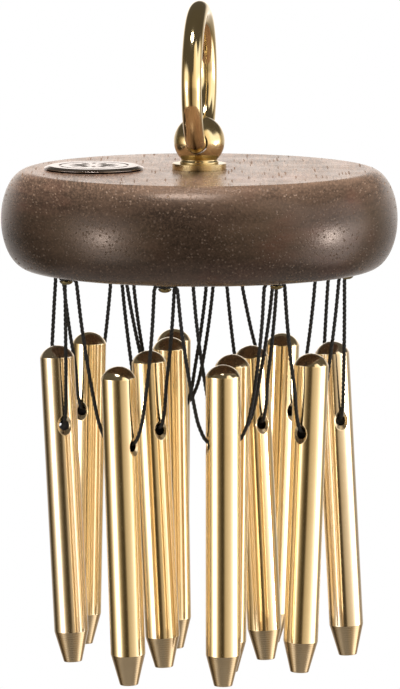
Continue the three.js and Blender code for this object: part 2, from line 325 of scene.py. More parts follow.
def grid_faces(rows, columns):
    """Four-sided faces over a grid of rows by columns, whose last column joins its first."""
    faces = []
    for row in range(rows - 1):
        for column in range(columns):
            right = (column + 1) % columns
            faces.append((
                row * columns + column, row * columns + right,
                (row + 1) * columns + right, (row + 1) * columns + column))
    return faces


class Shell:
    """Points, their outward directions and faces, gathered into one mesh."""

    def __init__(self):
        self.points = []
        self.directions = []
        self.faces = []

    def add(self, points, directions, faces):
        offset = len(self.points)
        self.points.extend(np.reshape(points, (-1, 3)).tolist())
        self.directions.extend(np.reshape(directions, (-1, 3)).tolist())
        self.faces.extend(tuple(offset + corner for corner in face) for face in faces)

    def add_grid(self, points, directions):
        """Adds rows by columns of points, whose last column joins its first."""
        self.add(points, directions, grid_faces(*np.shape(points)[:2]))

    def mesh(self, name):
        """The mesh in metres, with points that coincide made one and flat faces left out."""
        kept, numbers, places = [], [], {}
        for number, point in enumerate(self.points):
            key = tuple(round(value, 5) + 0.0 for value in point)
            if key not in places:
                places[key] = len(kept)
                kept.append(number)
            numbers.append(places[key])
        faces = []
        for face in self.faces:
            corners = list(dict.fromkeys(numbers[corner] for corner in face))
            if len(corners) > 2:
                faces.append(corners)
        mesh = bpy.data.meshes.new(name)
        mesh.from_pydata([Vector(self.points[n]) * MM for n in kept], [], faces)
        mesh.polygons.foreach_set("use_smooth", [True] * len(mesh.polygons))
        mesh.normals_split_custom_set_from_vertices([self.directions[n] for n in kept])
        mesh.update()
        return mesh


def row_from(profile, height):
    """The number of a profile's first point that isn't below the height."""
    return next(row for row, point in enumerate(profile) if point[1] > height - TINY)


def drilled_mesh(name, profile, sides, patch, depth_at, lip_route):
    """A shape turned about Z with a hole right through it along X. The patch is what the hole's
    surroundings take from the grid of sides by rows. depth_at gives how far out the outer surface
    is at a place across and up, and lip_route the way in from there, as distances from the hole's
    axis and depths, for one angle about that axis."""
    half_columns, lowest, highest = patch
    low_row, high_row = row_from(profile, lowest), row_from(profile, highest)
    points, directions = turned_grid(profile, sides)
    taken = {(row, (start + column) % sides) for start in (0, sides // 2)
             for column in range(-half_columns, half_columns) for row in range(low_row, high_row)}
    faces = [face for face in grid_faces(len(profile), sides)
             if (face[0] // sides, face[0] % sides) not in taken]
    shell = Shell()
    shell.add(points, directions, faces)

    # The patch's border, anticlockwise seen from outside, starts at its lower left corner
    columns = list(range(-half_columns, half_columns + 1))
    rows = list(range(low_row, high_row + 1))
    border = [(low_row, column) for column in columns]
    border += [(row, half_columns) for row in rows[1:]]
    border += [(high_row, column) for column in reversed(columns[:-1])]
    border += [(row, -half_columns) for row in reversed(rows[1:-1])]
    rays = []
    for row, column in border:
        point = points[row, column % sides]
        angle = math.atan2(point[2], point[1])
        far = math.hypot(point[1], point[2])
        route = lip_route(angle)
        near = route[0][0]
        ray = []
        for share in steps(PATCH_STEPS)[:-1]:
            reach = far + share * (near - far)
            across, up = reach * math.cos(angle), reach * math.sin(angle)
            ray.append((depth_at(across, up), across, up))
        for reach, depth in route:
            ray.append((depth, reach * math.cos(angle), reach * math.sin(angle)))
        rays.append(ray)
    patch_points = np.array(rays).transpose(1, 0, 2)
    inward = np.gradient(patch_points, axis=0)
    around = np.roll(patch_points, -1, axis=1) - np.roll(patch_points, 1, axis=1)
    patch_directions = np.cross(around, inward)
    patch_directions /= np.linalg.norm(patch_directions, axis=2)[:, :, None]
    for ring in range(PATCH_STEPS + 1):
        for number in range(len(border)):
            patch_directions[ring, number] = surface_direction(
                depth_at, patch_points[ring, number])
    half_turn = np.array([-1, -1, 1])
    shell.add_grid(patch_points, patch_directions)
    shell.add_grid(patch_points * half_turn, patch_directions * half_turn)
    return shell.mesh(name)


def surface_direction(depth_at, point):
    """The outward direction of the outer surface at one of its points."""
    reach = 0.01
    _, across, up = point
    slope_across = (depth_at(across + reach, up) - depth_at(across - reach, up)) / (2 * reach)
    slope_up = (depth_at(across, up + reach) - depth_at(across, up - reach)) / (2 * reach)
    return unit((1, -slope_across, -slope_up))


def smooth_path(knots, longest):
    """Points on a smooth curve through the knots, no further apart than the longest step. It is
    the curve that the part's source draws its cords on, blended from four knots at a time."""
    knots = np.array(knots, float)
    padded = np.vstack([2 * knots[0] - knots[1], knots, 2 * knots[-1] - knots[-2]])
    result = [knots[0]]
    for first in range(len(knots) - 1):
        p0, p1, p2, p3 = padded[first:first + 4]
        t1 = math.sqrt(math.dist(p0, p1))
        t2 = t1 + math.sqrt(math.dist(p1, p2))
        t3 = t2 + math.sqrt(math.dist(p2, p3))
        count = max(1, math.ceil(math.dist(p1, p2) / longest))
        for share in steps(count)[1:]:
            t = t1 + share * (t2 - t1)
            a1 = (t1 - t) / t1 * p0 + t / t1 * p1
            a2 = (t2 - t) / (t2 - t1) * p1 + (t - t1) / (t2 - t1) * p2
            a3 = (t3 - t) / (t3 - t2) * p2 + (t - t2) / (t3 - t2) * p3
            b1 = (t2 - t) / t2 * a1 + t / t2 * a2
            b2 = (t3 - t) / (t3 - t1) * a2 + (t - t1) / (t3 - t1) * a3
            result.append((t2 - t) / (t2 - t1) * b1 + (t - t1) / (t2 - t1) * b2)
    return np.array(result)


def carried_sides(path):
    """For each point of a path, two directions square to it that don't turn about it."""
    tangents = np.gradient(path, axis=0)
    tangents /= np.linalg.norm(tangents, axis=1)[:, None]
    helper = (0, 0, 1) if abs(tangents[0][2]) < 0.9 else (1, 0, 0)
    side = unit(np.cross(tangents[0], helper))
    sides, others = [], []
    for tangent in tangents:
        side = unit(side - np.dot(side, tangent) * tangent)
        sides.append(side)
        others.append(np.cross(tangent, side))
    return np.array(sides), np.array(others)


def add_tube(shell, path, sides, others, radius, count):
    """Adds a closed round tube along a path to a shell."""
    angles = steps(count)[:-1] * 2 * math.pi
    directions = (np.cos(angles)[None, :, None] * sides[:, None, :]
                  + np.sin(angles)[None, :, None] * others[:, None, :])
    points = path[:, None, :] + radius * directions
    shell.add_grid(points, directions)
    # The cap at the start faces back along the path
    for end, order in ((0, -1), (-1, 1)):
        cap_points = np.vstack([points[end][::order], path[end]])
        facing = np.cross(sides[end], others[end]) * order
        cap = [(number, (number + 1) % count, count) for number in range(count)]
        shell.add(cap_points, np.tile(facing, (count + 1, 1)), cap)


def twisted_cord_mesh(name, path):
    """A cord of three plies laid round each other along the path."""
    sides, others = carried_sides(path)
    travelled = np.concatenate([[0], np.cumsum(np.linalg.norm(np.diff(path, axis=0), axis=1))])
    lay_radius = CORD_DIAMETER / 2 - PLY_RADIUS
    shell = Shell()
    for ply in range(PLY_COUNT):
        turn = 2 * math.pi * (travelled / PLY_PITCH + ply / PLY_COUNT)
        centre = path + lay_radius * (
            np.cos(turn)[:, None] * sides + np.sin(turn)[:, None] * others)
        add_tube(shell, centre, sides, others, PLY_RADIUS, PLY_SIDES)
    return shell.mesh(name)


def add_object(name, data):
    """A new object in the scene that shows the data."""
    item = bpy.data.objects.new(name, data)
    bpy.context.scene.collection.objects.link(item)
    return item


def add_piece(name, mesh, matrix, body, nodes, slot_name, material=None):
    """Puts a mesh in the scene for one or more nodes of the frame. Its material has the slot's
    name unless another is given."""
    piece = add_object(name, mesh)
    piece.matrix_world = matrix
    if not mesh.materials:
        mesh.materials.append(MATERIALS[material or slot_name])
    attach(piece, body)
    if nodes:
        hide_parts(*nodes)


def axes_matrix(x_axis, z_axis, origin):
    """A placing whose X and Z lie along two directions, with its origin in metres."""
    z_axis = Vector(z_axis).normalized()
    x_axis = (Vector(x_axis) - Vector(x_axis).dot(z_axis) * z_axis).normalized()
    y_axis = z_axis.cross(x_axis)
    matrix = Matrix((x_axis, y_axis, z_axis)).transposed().to_4x4()
    matrix.translation = origin
    return matrix


def highest_corner(node):
    """The highest corner of a node of the frame."""
    return max((v.co.copy() for v in frame["nodes"][node].data.vertices), key=lambda co: co.z)


# Materials

WHITE = (1, 1, 1, 1)


def empty_material(name):
    """A material with nothing but its output node."""
    material = bpy.data.materials.new(name)
    material.use_nodes = True
    tree = material.node_tree
    tree.nodes.clear()
    return material, tree, tree.nodes.new("ShaderNodeOutputMaterial")


def shaded_material(name):
    """A material with one Principled shader."""
    material, tree, output = empty_material(name)
    shader = tree.nodes.new("ShaderNodeBsdfPrincipled")
    tree.links.new(shader.outputs["BSDF"], output.inputs["Surface"])
    return material, tree, shader


def set_inputs(tree, node, inputs):
    """Gives each input of a node its constant or its link."""
    for key, value in inputs.items():
        if isinstance(value, bpy.types.NodeSocket):
            tree.links.new(value, node.inputs[key])
        else:
            node.inputs[key].default_value = value


def add_node(tree, kind, settings=None, inputs=None):
    """A node with its settings and its inputs."""
    node = tree.nodes.new(kind)
    for key, value in (settings or {}).items():
        setattr(node, key, value)
    set_inputs(tree, node, inputs or {})
    return node


def object_place(tree, stretch=(1, 1, 1)):
    """The place on the object, stretched along each axis."""
    coordinates = add_node(tree, "ShaderNodeTexCoord")
    mapping = add_node(tree, "ShaderNodeMapping", inputs={
        "Vector": coordinates.outputs["Object"], "Scale": stretch})
    return mapping.outputs["Vector"]


def noise(tree, place, scale, detail=3, roughness=0.55, distortion=0):
    node = add_node(tree, "ShaderNodeTexNoise", inputs={
        "Vector": place, "Scale": scale, "Detail": detail, "Roughness": roughness,
        "Distortion": distortion})
    return node.outputs["Fac"]


def between(tree, value, from_low, from_high, to_low=0.0, to_high=1.0, smooth=True):
    """The value stretched from one range to another and held inside it."""
    node = add_node(
        tree, "ShaderNodeMapRange",
        {"interpolation_type": "SMOOTHSTEP" if smooth else "LINEAR"},
        {"Value": value, "From Min": from_low, "From Max": from_high,
         "To Min": to_low, "To Max": to_high})
    return node.outputs["Result"]


def calculate(tree, operation, first, second=0.0):
    node = add_node(tree, "ShaderNodeMath", {"operation": operation}, {0: first, 1: second})
    return node.outputs["Value"]


def times(tree, first, second):
    return calculate(tree, "MULTIPLY", first, second)


def mix_colours(tree, share, first, second, blend="MIX"):
    node = add_node(
        tree, "ShaderNodeMix", {"data_type": "RGBA", "blend_type": blend},
        {"Factor": share, 6: first, 7: second})
    return node.outputs[2]


def bump(tree, height, microns, normal=None):
    """The surface's direction where a height of up to so many microns is laid on it."""
    inputs = {"Height": height, "Distance": microns * MICRON}
    if normal is not None:
        inputs["Normal"] = normal
    return add_node(tree, "ShaderNodeBump", inputs=inputs).outputs["Normal"]


def rgb(red, green, blue):
    """A colour written as it shows on a screen, as the linear colour that a shader takes."""
    linear = []
    for value in (red, green, blue):
        share = value / 255
        linear.append(share / 12.92 if share <= 0.04045 else ((share + 0.055) / 1.055) ** 2.4)
    return (*linear, 1.0)


def wood_material():
    """Dark oiled and lacquered hardwood whose grain runs along Y. Its pores are long tubes,
    coloured with painted light and shade by which way the surface faces: small pale dots of
    painted light on the front, and dark dashes of painted shade on the top."""
    material, tree, shader = shaded_material("wood")
    broad = object_place(tree, (1, 0.3, 1))
    figure = noise(tree, broad, scale=50, roughness=0.5, distortion=0.4)
    figure = between(tree, figure, 0.48, 0.7)
    base = mix_colours(tree, figure, rgb(92, 73, 60), rgb(104, 69, 56))
    for stretch, texture, shown, strength, colour in WOOD_LAYERS:
        layer = between(tree, noise(tree, object_place(tree, stretch), *texture), *shown)
        base = mix_colours(tree, times(tree, layer, strength), base, rgb(*colour))
    fibres = layer  # the last one laid

    cells = add_node(tree, "ShaderNodeTexVoronoi", {"feature": "F1"}, {
        "Vector": object_place(tree, (1, 0.05, 1)), "Scale": PORE_SCALE, "Randomness": 1.0})
    cell_colour = add_node(tree, "ShaderNodeSeparateColor", inputs={
        "Color": cells.outputs["Color"]})
    pore_size = between(tree, cell_colour.outputs["Red"], 0, 1, *PORE_SIZES, smooth=False)
    inside = calculate(tree, "SUBTRACT", pore_size, cells.outputs["Distance"])
    clusters = between(tree, noise(tree, broad, scale=90, detail=2), 0.3, 0.6, 0.15, 1.0)
    facing = add_node(tree, "ShaderNodeSeparateXYZ", inputs={
        "Vector": add_node(tree, "ShaderNodeTexCoord").outputs["Normal"]})
    upward = between(tree, facing.outputs["Z"], 0.75, 0.95)
    top_share = between(tree, upward, 0, 1, 1, PORE_TOP_SHARE)
    pore = times(tree, between(tree, inside, *PORE_EDGE), clusters)
    pore = times(tree, pore, top_share)
    # The pores' colour is painted light and shade: pale on the sides, as if their lower lips
    # caught the light from above, and dark on the top, as shade in the pits
    pore_light_and_shade = mix_colours(tree, upward, rgb(152, 127, 107), rgb(84, 66, 54))
    base = mix_colours(tree, times(tree, pore, PORE_STRENGTH), base, pore_light_and_shade)

    even = object_place(tree)
    gloss = between(tree, noise(tree, even, scale=140), 0.3, 0.7, 0.23, 0.28)
    swell = bump(tree, noise(tree, even, scale=60, detail=2), microns=100)
    ripple = bump(tree, fibres, microns=10, normal=swell)
    dimples = bump(tree, calculate(tree, "SUBTRACT", 1, pore), microns=60, normal=ripple)
    set_inputs(tree, shader, {
        "Base Color": base,
        "Roughness": calculate(tree, "ADD", gloss, times(tree, pore, 0.4)),
        "IOR": 1.5,
        "Specular Tint": (1, 0.78, 0.65, 1),
        "Normal": dimples,
    })
    return material


def brass_material(name):
    """Brass with soft patches in its colour and gloss and a slightly uneven surface. A turned
    kind has fine marks about Z."""
    colour, tarnish, roughness, unevenness, turned = BRASSES[name]
    material, tree, shader = shaded_material(name)
    place = object_place(tree)
    patches = between(tree, noise(tree, place, scale=90, detail=4), 0.4, 0.75)
    hazy = between(tree, noise(tree, place, scale=500), 0.4, 0.8, roughness, roughness + 0.04)
    mirrored = tree.nodes.new("ShaderNodeLightPath").outputs["Is Glossy Ray"]
    blurred = times(tree, mirrored, MIRRORED_ROUGHNESS)
    normal = bump(tree, noise(tree, place, scale=110, detail=2), unevenness)
    if turned:
        rings = noise(tree, object_place(tree, (0.02, 0.02, 1)), scale=5200, detail=2)
        normal = bump(tree, rings, microns=4, normal=normal)
    set_inputs(tree, shader, {
        "Base Color": mix_colours(tree, times(tree, patches, 0.35), rgb(*colour), rgb(*tarnish)),
        "Metallic": 1.0,
        "Roughness": calculate(tree, "MAXIMUM", hazy, blurred),
        "Normal": normal,
    })
    return material


def plate_material():
    """The badge's plated face, with faint brushing along X."""
    material, tree, shader = shaded_material("plate")
    patches = between(tree, noise(tree, object_place(tree), scale=160), 0.35, 0.7)
    brushing = noise(tree, object_place(tree, (0.02, 1, 1)), scale=9000, detail=2)
    set_inputs(tree, shader, {
        "Base Color": mix_colours(tree, patches, rgb(196, 183, 176), rgb(176, 160, 152)),
        "Metallic": 1.0,
        "Roughness": between(tree, brushing, 0.3, 0.7, 0.1, 0.2),
        "Normal": bump(tree, brushing, microns=3),
    })
    return material


def steel_material():
    """The stud's plain bright steel, with a thread drawn by bump."""
    material, tree, shader = shaded_material("steel")
    place = object_place(tree)
    patches = noise(tree, place, scale=700)
    thread = add_node(tree, "ShaderNodeTexWave", {
        "wave_type": "BANDS", "bands_direction": "Z"}, {"Vector": place, "Scale": 220.0})
    set_inputs(tree, shader, {
        "Base Color": mix_colours(tree, patches, rgb(168, 164, 158), rgb(136, 131, 124)),
        "Metallic": 1.0,
        "Roughness": between(tree, patches, 0.3, 0.7, 0.3, 0.42),
        "Normal": bump(tree, thread.outputs["Fac"], microns=200),
    })
    return material


def fibrous_material(name, scale, shown, dark, pale, roughness, microns):
    """A dark matt stuff with fine fibres or specks."""
    material, tree, shader = shaded_material(name)
    fibres = noise(tree, object_place(tree), scale)
    set_inputs(tree, shader, {
        "Base Color": mix_colours(tree, between(tree, fibres, *shown), rgb(*dark), rgb(*pale)),
        "Roughness": between(tree, fibres, 0.3, 0.7, *roughness),
        "Normal": bump(tree, fibres, microns),
    })
    return material


# The pad is the dark rubbery one that the badge stands on, and its near-black is also painted
# shade under the badge's edge; the cord is waxed
MATERIALS = {
    "wood": wood_material(),
    **{name: brass_material(name) for name in BRASSES},
    "plate": plate_material(),
    "pad_and_painted_shade": fibrous_material(
        "pad_and_painted_shade", 3000, (0.3, 0.7), (16, 13, 11), (34, 29, 25), (0.7, 0.9), 30),
    "steel": steel_material(),
    "cord": fibrous_material(
        "cord", 6000, (0.35, 0.75), (22, 20, 18), (50, 46, 41), (0.6, 0.85), 50),
}


# The disc, the badge and the hanger

JOINTS = {joint["name"]: joint for joint in frame["joints"]}


def joint_place(name):
    """A joint's point in metres and the direction of its axis."""
    joint = JOINTS[name]
    return Vector(joint["pos_m"]), Vector(joint["axis"])


def build_disc():
    low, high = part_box("wood_disc")
    radius, thickness = high.x / MM, (high.z - low.z) / MM
    half = thickness / 2
    rim = arc((radius - DISC_RIM_DEPTH, half), (DISC_RIM_DEPTH, half), -90, 90, count=96)
    bottom = spaced([(0, 0), rim[0]], DISC_ROW_LENGTH)
    top = spaced([rim[-1], (0, thickness)], DISC_ROW_LENGTH)
    shell = Shell()
    shell.add_grid(*turned_grid(bottom + rim[1:] + top[1:], DISC_SIDES))
    matrix = Matrix.Translation((0, 0, low.z))
    add_piece("disc_wood", shell.mesh("wood_disc_shape"), matrix, "disc", ["wood_disc"], "wood")


def petal_sink(radius, angle):
    """How deep the badge's rosette is cut at a place on its face, as a share of its depth."""
    middle = (PETAL_INNER_RADIUS + PETAL_OUTER_RADIUS) / 2
    half_length = (PETAL_OUTER_RADIUS - PETAL_INNER_RADIUS) / 2
    off_middle = (angle + math.pi / PETAL_COUNT) % (2 * math.pi / PETAL_COUNT)
    across = radius * math.sin(off_middle - math.pi / PETAL_COUNT)
    half_width = PETAL_FULLNESS * middle * math.sin(math.pi / PETAL_COUNT)
    size = ((radius - middle) / half_length) ** 2 + (across / half_width) ** 2
    return max(0.0, 1 - size)


def build_badge():
    low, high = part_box("badge")
    radius, thickness = (high.x - low.x) / 2 / MM, (high.z - low.z) / MM
    flat = radius - BADGE_BEVEL_WIDTH
    bevel_foot = (radius, thickness - BADGE_BEVEL_DROP)
    lip = (radius, BADGE_FOOT_HEIGHT)
    under = (radius - BADGE_FOOT_INSET, BADGE_FOOT_HEIGHT)
    edge = [
        *rounded(lip, under, bevel_foot, radius=0.05),
        *rounded(bevel_foot, lip, (flat, thickness), radius=0.06),
        *rounded((flat, thickness), bevel_foot, (0, thickness), radius=0.15),
    ]
    half_groove = BADGE_GROOVE_WIDTH / 2
    groove_bottom = (BADGE_GROOVE_RADIUS, thickness - BADGE_GROOVE_DEPTH)
    outer_lip = (BADGE_GROOVE_RADIUS + half_groove, thickness)
    inner_lip = (BADGE_GROOVE_RADIUS - half_groove, thickness)
    groove = [
        *rounded(outer_lip, (flat, thickness), groove_bottom, radius=0.06),
        *rounded(groove_bottom, outer_lip, inner_lip, radius=0.06),
        *rounded(inner_lip, groove_bottom, (0, thickness), radius=0.06),
    ]
    foot = [(0, 0), (radius - BADGE_FOOT_INSET, 0), under]
    face = spaced([(inner_lip[0] - 0.1, thickness), (0, thickness)], longest=0.2)
    profile = [*foot, *edge, *groove, *face]
    points, _ = turned_grid(profile, BADGE_SIDES)
    for row in points:
        for point in row:
            if point[2] > thickness - TINY:
                sink = petal_sink(math.hypot(point[0], point[1]), math.atan2(point[1], point[0]))
                point[2] -= PETAL_DEPTH * sink
    along = np.gradient(points, axis=0)
    around = np.roll(points, -1, axis=1) - np.roll(points, 1, axis=1)
    directions = np.cross(around, along)
    lengths = np.linalg.norm(directions, axis=2)
    directions[lengths < TINY] = (0, 0, 1)
    directions[0] = (0, 0, -1)
    directions /= np.linalg.norm(directions, axis=2)[:, :, None]
    shell = Shell()
    shell.add_grid(points, directions)
    mesh = shell.mesh("badge_shape")
    kinds = ["plate", "pad_and_painted_shade"]
    for kind in kinds:
        mesh.materials.append(MATERIALS[kind])
    # The foot's faces take the pad's near-black, which also paints the shade line under the
    # badge's edge
    for face in mesh.polygons:
        if face.center.z < (BADGE_FOOT_HEIGHT - 0.02) * MM:
            face.material_index = kinds.index("pad_and_painted_shade")
    middle = (low + high) / 2
    matrix = Matrix.Translation((middle.x, middle.y, low.z))
    add_piece("badge_plate", mesh, matrix, "disc", ["badge"], "plate")


def build_ball():
    pivot, axis = joint_place("disc_sway")
    low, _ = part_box("hanger_ball")
    base = (low.z - pivot.z) / MM
    first_angle = math.degrees(math.asin((base + NECK_HEIGHT) / BALL_RADIUS))
    sphere = arc((0, 0), BALL_RADIUS, first_angle, 90, count=56)
    sphere[-1] = (0, BALL_RADIUS)
    flange_lip = (FLANGE_RADIUS, base + FLANGE_HEIGHT)
    collar_foot = (COLLAR_RADIUS, base + FLANGE_HEIGHT)
    collar_lip = (COLLAR_RADIUS, base + COLLAR_HEIGHT)
    foot = [
        (0, base), (FLANGE_RADIUS - FLANGE_FOOT_EASE, base),
        (FLANGE_RADIUS, base + FLANGE_FOOT_EASE),
        *rounded(flange_lip, (FLANGE_RADIUS, base), collar_foot, radius=0.12),
        *rounded(collar_foot, flange_lip, collar_lip, radius=0.05),
        *rounded(collar_lip, collar_foot, sphere[0], radius=0.08),
        *rounded(sphere[0], collar_lip, sphere[4], radius=0.3, count=6),
    ]

    def depth_at(across, up):
        return math.sqrt(BALL_RADIUS ** 2 - across ** 2 - up ** 2)

    # The way in at the hole is the same all round, over an eased lip to the middle
    reach = ROD_RADIUS + PIVOT_GAP
    outer_reach = reach + BALL_HOLE_EASE
    lip, outer = (reach, depth_at(reach, 0)), (outer_reach, depth_at(outer_reach, 0))
    eased = rounded(lip, outer, (reach, 0), BALL_HOLE_EASE, count=5)
    route = [outer, *eased[1:], (reach, lip[1] / 2), (reach, 0)]
    mesh = drilled_mesh(
        "ball_shape", foot + sphere[2:], BALL_SIDES, BALL_PATCH, depth_at, lambda angle: route)
    matrix = axes_matrix(axis, (0, 0, 1), pivot)
    add_piece("hanger_turned_ball", mesh, matrix, "disc", ["hanger_ball"], "hanger_brass",
              "ball_brass")


def build_ring():
    pivot, axis = joint_place("disc_sway")
    _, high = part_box("hanging_ring")
    top = (high.z - pivot.z) / MM
    hole_radius = ROD_RADIUS + PIVOT_GAP
    mouth_across = math.sqrt(BALL_RADIUS ** 2 - hole_radius ** 2)
    crown_rise = top - ROD_RADIUS - CROWN_RADIUS
    fillet_angle = math.atan2(mouth_across, crown_rise - RING_FILLET_RADIUS)
    limb = [(RING_END_GAP / 2 + share * (mouth_across - RING_END_GAP / 2), 0)
            for share in steps(8)]
    fillet = [(mouth_across + RING_FILLET_RADIUS * math.sin(share * fillet_angle),
               RING_FILLET_RADIUS * (1 - math.cos(share * fillet_angle)))
              for share in steps(16)][1:]
    angles = fillet_angle + steps(200)[1:-1] * 2 * (math.pi - fillet_angle)
    crown = [(CROWN_RADIUS * math.sin(a), crown_rise - CROWN_RADIUS * math.cos(a))
             for a in angles]
    half = limb + fillet
    line = half + crown + [(-across, rise) for across, rise in reversed(half)]
    path = np.array([(-across, 0, rise) for across, rise in line])
    sides, others = carried_sides(path)
    shell = Shell()
    add_tube(shell, path, sides, others, ROD_RADIUS, ROD_SIDES)
    matrix = axes_matrix(axis, (0, 0, 1), pivot)
    add_piece("hanging_rod_ring", shell.mesh("ring_shape"), matrix, "ring", ["hanging_ring"],
              "hanger_brass")


def dress_stud():
    """The stud's node is hidden in the wood and keeps its own solid."""
    node = frame["nodes"]["hanger_stud"]
    node.data.materials.clear()
    node.data.materials.append(MATERIALS["steel"])


# The screws, the cords and the pegs

def cut_out(mesh, tool, name):
    """The mesh with the tool's space taken out of it and its edges eased."""
    holder = add_object(name, mesh)
    cutter = add_object(name + "_cutter", tool)
    cut = holder.modifiers.new("cut", "BOOLEAN")
    cut.operation = "DIFFERENCE"
    cut.object = cutter
    cut.solver = "EXACT"
    easing = holder.modifiers.new("easing", "BEVEL")
    easing.width = SLOT_EASE * MM
    easing.segments = 2
    easing.limit_method = "ANGLE"
    easing.angle_limit = math.radians(40)
    bpy.context.view_layer.update()
    graph = bpy.context.evaluated_depsgraph_get()
    result = bpy.data.meshes.new_from_object(holder.evaluated_get(graph))
    for item in (holder, cutter):
        bpy.data.objects.remove(item)
    result.name = name
    return result


def screw_mesh():
    head = arc((0, -HEAD_STANDOFF), (HEAD_RADIUS, HEAD_HEIGHT), -90, 0, count=14)
    head[0] = (0, -HEAD_STANDOFF - HEAD_HEIGHT)
    shank_top = SHANK_LENGTH - HEAD_STANDOFF
    profile = [
        *head, (SHANK_RADIUS, -HEAD_STANDOFF), (SHANK_RADIUS, shank_top - SCREW_POINT_LENGTH),
        (0, shank_top)]
    points, _ = turned_grid(profile, SCREW_SIDES)
    # A point's way from the origin serves as its outward direction
    shell = Shell()
    shell.add_grid(points, points)
    body = shell.mesh("screw_body")
    bottom = -HEAD_STANDOFF - HEAD_HEIGHT
    half_width = SLOT_WIDTH / 2
    reach = HEAD_RADIUS + 0.5
    corners = [(x, y, z) for z in (bottom - SLOT_DEPTH, bottom + SLOT_DEPTH)
               for y in (-half_width, half_width) for x in (-reach, reach)]
    tool = bpy.data.meshes.new("slot_tool")
    tool.from_pydata(
        [Vector(corner) * MM for corner in corners], [],
        [(0, 2, 3, 1), (4, 5, 7, 6), (0, 1, 5, 4), (2, 6, 7, 3), (0, 4, 6, 2), (1, 3, 7, 5)])
    result = cut_out(body, tool, "screw_shape")
    result.set_sharp_from_angle(angle=math.radians(35))
    return result


def wrap_mesh():
    """One turn of cord round a screw's shank, under its head."""
    lay = SHANK_RADIUS + CORD_DIAMETER / 2
    angles = steps(72) * 2 * math.pi * WRAP_TURNS
    path = np.array([(lay * math.cos(a), lay * math.sin(a), -HEAD_STANDOFF / 2) for a in angles])
    return twisted_cord_mesh("wrap_shape", path)


def peg_mesh():
    """A peg about its own hole, which lies along X. The peg lies along Z."""
    top = PEG_HOLE_FROM_TOP
    tip = top - PEG_LENGTH
    shoulder = tip + PEG_TAPER_LENGTH
    dome_start = top - PEG_DOME_HEIGHT
    dome_radius = (PEG_RADIUS ** 2 + PEG_DOME_HEIGHT ** 2) / (2 * PEG_DOME_HEIGHT)
    dome_angle = math.degrees(math.acos(PEG_RADIUS / dome_radius))
    dome = arc((0, top - dome_radius), dome_radius, dome_angle, 90, count=24)
    dome[-1] = (0, top)
    taper = spaced([(PEG_TIP_RADIUS, tip), (PEG_RADIUS, shoulder)], TURNING_PITCH / 8)
    turns = [math.dist(point, taper[0]) / TURNING_PITCH for point in taper]
    taper = [(radius - TURNING_DEPTH * (1 - math.cos(2 * math.pi * turn)) / 2, height)
             for (radius, height), turn in zip(taper, turns)]
    _, patch_bottom, patch_top = PEG_PATCH
    corners = [(PEG_RADIUS, height) for height in (shoulder, patch_bottom, patch_top, dome_start)]
    body = spaced(corners, PEG_ROW_LENGTH)
    profile = [
        (0, tip),
        *rounded(taper[0], (0, tip), taper[2], radius=0.12),
        *taper[3:-2],
        *rounded((PEG_RADIUS, shoulder), taper[-3], (PEG_RADIUS, 0), radius=0.08),
        *body[1:-1],
        *rounded((PEG_RADIUS, dome_start), (PEG_RADIUS, 0), dome[1], radius=0.15),
        *dome[2:],
    ]
    slope = math.tan(math.radians(SINK_HALF_DEGREES))
    sink_start = PEG_RADIUS - (PEG_SINK_RADIUS - PEG_BORE_RADIUS) / slope

    def depth_at(across, up):
        return math.sqrt(PEG_RADIUS ** 2 - across ** 2)

    def lip_route(angle):
        # The sink's cone meets the peg's round side at the lip, which is found in small steps
        reach = PEG_SINK_RADIUS
        for _ in range(60):
            surface = depth_at(reach * math.cos(angle), 0)
            reach += 0.5 * (PEG_SINK_RADIUS + (surface - PEG_RADIUS) * slope - reach)
        lip = (reach, depth_at(reach * math.cos(angle), 0))
        outer_reach = reach + SINK_LIP_EASE
        outer = (outer_reach, depth_at(outer_reach * math.cos(angle), 0))
        throat = (PEG_BORE_RADIUS, sink_start)
        eased = rounded(lip, outer, throat, SINK_LIP_EASE)
        eased[0] = outer
        return [*eased, *rounded(throat, lip, (PEG_BORE_RADIUS, 0), radius=0.12, count=3),
                (PEG_BORE_RADIUS, sink_start / 2), (PEG_BORE_RADIUS, 0)]

    mesh = drilled_mesh("peg_shape", profile, PEG_SIDES, PEG_PATCH, depth_at, lip_route)
    kinds = ["peg_brass", "peg_satin", "peg_sink_painted_shade", "peg_bore_painted_shade"]
    for kind in kinds:
        mesh.materials.append(MATERIALS[kind])
    satin_top = (shoulder - 0.05) * MM
    for face in mesh.polygons:
        x, y, z = face.center / MM
        from_hole = math.hypot(y, z)
        if face.center.z < satin_top:
            face.material_index = kinds.index("peg_satin")
        elif from_hole < PEG_BORE_RADIUS + 0.03:
            # The bore's faces take its painted shade
            face.material_index = kinds.index("peg_bore_painted_shade")
        elif from_hole < PEG_SINK_RADIUS and abs(x) < depth_at(y, z) - 0.05:
            # The countersink's faces take its darker brass, which is painted shade
            face.material_index = kinds.index("peg_sink_painted_shade")
    return mesh


def strand_knots(screw, other_screw, hole_middle, hole, axis):
    """Half of a peg's cord, from a screw's shank to the middle of the peg's hole, in millimetres
    from the underside. It runs level under the screw's head, bends down beside it, and comes in
    round the lip of the hole."""
    inward = unit(other_screw - screw)
    run = -HEAD_STANDOFF / 2

    def from_screw(along, drop):
        return np.array([*(screw + inward * along)[:2], run - drop])

    bend_start = HEAD_RADIUS + SEAT_GAP
    bend = [from_screw(bend_start + CORD_BEND_RADIUS * math.sin(angle),
                       CORD_BEND_RADIUS * (1 - math.cos(angle)))
            for angle in np.radians(steps(6) * CORD_BEND_DEGREES)]
    mouth = [hole_middle + hole * PEG_RADIUS * out + axis * PEG_RADIUS * up
             for out, up in reversed(MOUTH_ROUTE)]
    strand = [bend[-1] + share * (mouth[0] - bend[-1])
              - inward * 4 * share * (1 - share) * STRAND_BOW for share in steps(3)[1:-1]]
    return [from_screw(SHANK_RADIUS + SEAT_GAP, 0), *bend, *strand, *mouth]


